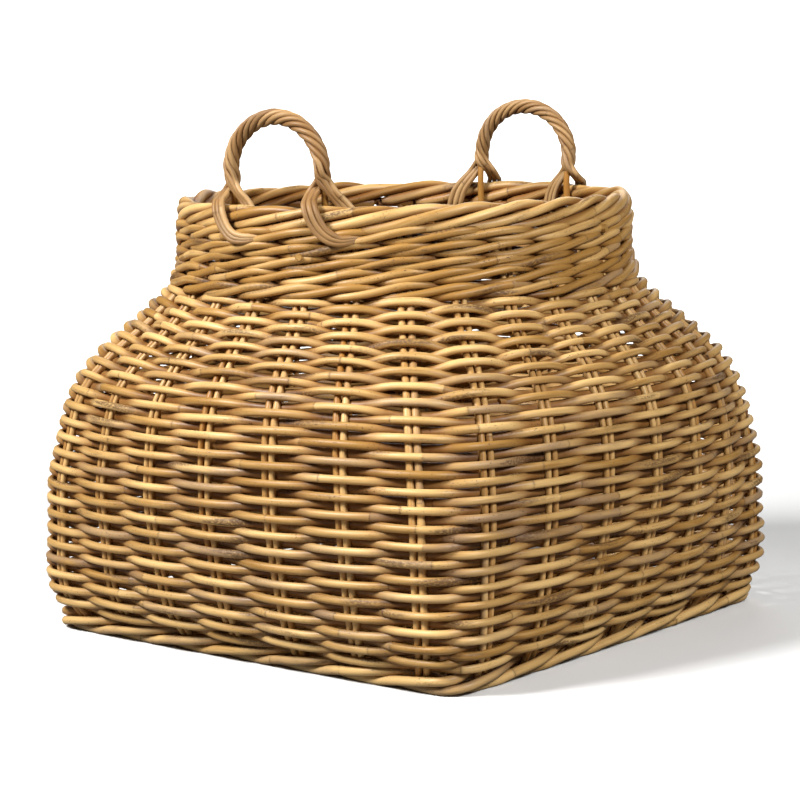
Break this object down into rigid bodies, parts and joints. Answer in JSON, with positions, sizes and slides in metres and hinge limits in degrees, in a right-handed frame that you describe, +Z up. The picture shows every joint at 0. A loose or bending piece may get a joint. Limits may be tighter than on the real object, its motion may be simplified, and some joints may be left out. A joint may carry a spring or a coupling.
{
  "type": "belly basket",
  "caption": "Woven cane basket with a square foot, a swelling belly, a round open neck, a rolled border and roped loop handles.",
  "frame": {"origin": "on the floor, at the middle of the base", "axes": "+Z up through the neck; the base's sides lie along X and Y; the front handle stands over the -Y side and the back handle over the +Y side"},
  "size_m": [0.6415, 0.641, 0.533],
  "materials": {
    "straw_cane": "bare satin cane, pale straw",
    "ochre_cane": "bare satin cane, ochre",
    "grey_tan_cane": "bare dull cane, greyish tan",
    "dark_cane": "bare dull cane, brown"
  },
  "bodies": {
    "root": {"back_handle_bow": "ochre_cane", "back_handle_roping": "grey_tan_cane", "base_mat": "dark_cane", "belly_cane_01": "straw_cane", "belly_cane_02": "straw_cane", "belly_cane_03": "straw_cane", "belly_cane_04": "straw_cane", "belly_cane_05": "straw_cane", "belly_cane_06": "straw_cane", "belly_cane_07": "straw_cane", "belly_cane_08": "straw_cane", "belly_cane_09": "straw_cane", "belly_cane_10": "straw_cane", "belly_cane_11": "straw_cane", "belly_cane_12": "straw_cane", "belly_cane_13": "straw_cane", "belly_cane_14": "straw_cane", "belly_cane_15": "straw_cane", "belly_cane_16": "straw_cane", "foot_wale": "ochre_cane", "front_handle_bow": "ochre_cane", "front_handle_roping": "grey_tan_cane", "neck_cane_1": "straw_cane", "neck_cane_2": "straw_cane", "neck_cane_3": "straw_cane", "rim_border": "straw_cane", "stake_pair_01": "ochre_cane", "stake_pair_02": "ochre_cane", "stake_pair_03": "ochre_cane", "stake_pair_04": "ochre_cane", "stake_pair_05": "ochre_cane", "stake_pair_06": "ochre_cane", "stake_pair_07": "ochre_cane", "stake_pair_08": "ochre_cane", "stake_pair_09": "ochre_cane", "stake_pair_10": "ochre_cane", "stake_pair_11": "ochre_cane", "stake_pair_12": "ochre_cane", "stake_pair_13": "ochre_cane", "stake_pair_14": "ochre_cane", "stake_pair_15": "ochre_cane", "stake_pair_16": "ochre_cane", "stake_pair_17": "ochre_cane", "stake_pair_18": "ochre_cane", "stake_pair_19": "ochre_cane", "stake_pair_20": "ochre_cane", "stake_pair_21": "ochre_cane", "stake_pair_22": "ochre_cane", "stake_pair_23": "ochre_cane", "stake_pair_24": "ochre_cane", "stake_pair_25": "ochre_cane", "stake_pair_26": "ochre_cane", "stake_pair_27": "ochre_cane", "stake_pair_28": "ochre_cane"}
  },
  "joints": []
}
